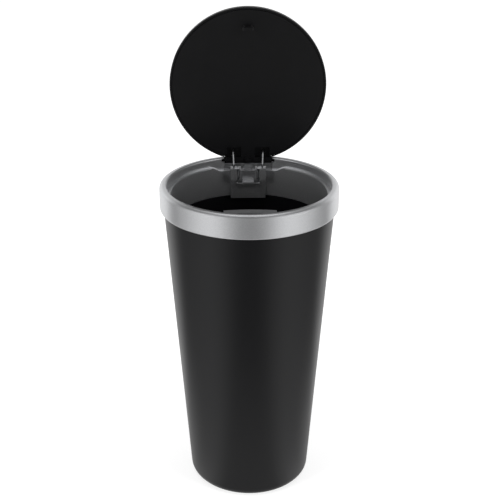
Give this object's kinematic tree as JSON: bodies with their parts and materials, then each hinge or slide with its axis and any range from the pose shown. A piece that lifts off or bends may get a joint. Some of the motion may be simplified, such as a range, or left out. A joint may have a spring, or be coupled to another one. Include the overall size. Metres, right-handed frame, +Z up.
{
  "type": "car trash bin",
  "caption": "Round tapered car trash bin for a cup holder, with a push-on silver collar and a flush spring-hinged lid held by a push latch, shown open.",
  "frame": {"origin": "centre of the flat foot, on the surface that the bin stands on", "axes": "+Z up along the bin's axis, +Y towards the hinge, +X along the hinge axis; stored with the lid open"},
  "size_m": [0.096, 0.096, 0.2634],
  "materials": {
    "body_plastic": "satin black moulded plastic",
    "silver_plastic": "satin silver lacquer on moulded plastic",
    "hinge_plastic": "satin silver lacquer on moulded plastic",
    "spring_steel": "bright drawn wire",
    "latch_plastic": "black moulded plastic",
    "slider_plastic": "dark grey moulded plastic",
    "screw_steel": "zinc plated steel",
    "lid_plastic": "fine-grained black moulded plastic"
  },
  "bodies": {
    "bin": {"bin_body": "body_plastic", "rim_collar": "silver_plastic", "hinge_bracket": "hinge_plastic", "lid_spring": "spring_steel", "latch_housing": "latch_plastic", "latch_cap": "latch_plastic", "latch_spring": "spring_steel", "latch_follower": "spring_steel", "latch_screws": "screw_steel"},
    "lid": {"lid_cover": "lid_plastic", "lid_panel": "lid_plastic"},
    "latch": {"latch_slider": "slider_plastic"}
  },
  "joints": [
    {"name": "lid_hinge", "type": "hinge", "parent": "bin", "child": "lid", "pos_m": [0, 0.0434, 0.1766], "axis": [1, 0, 0], "range_deg": [0, 90], "stiffness_Nm_per_rad": 0.02, "springref_deg": -51.57, "deforming": ["lid_spring"]},
    {"name": "latch_slide", "type": "slide", "parent": "bin", "child": "latch", "axis": [0, 0, -1], "range_m": [0, 0.004], "stiffness_N_per_m": 150, "springref_m": -0.004, "deforming": ["latch_spring"]}
  ]
}
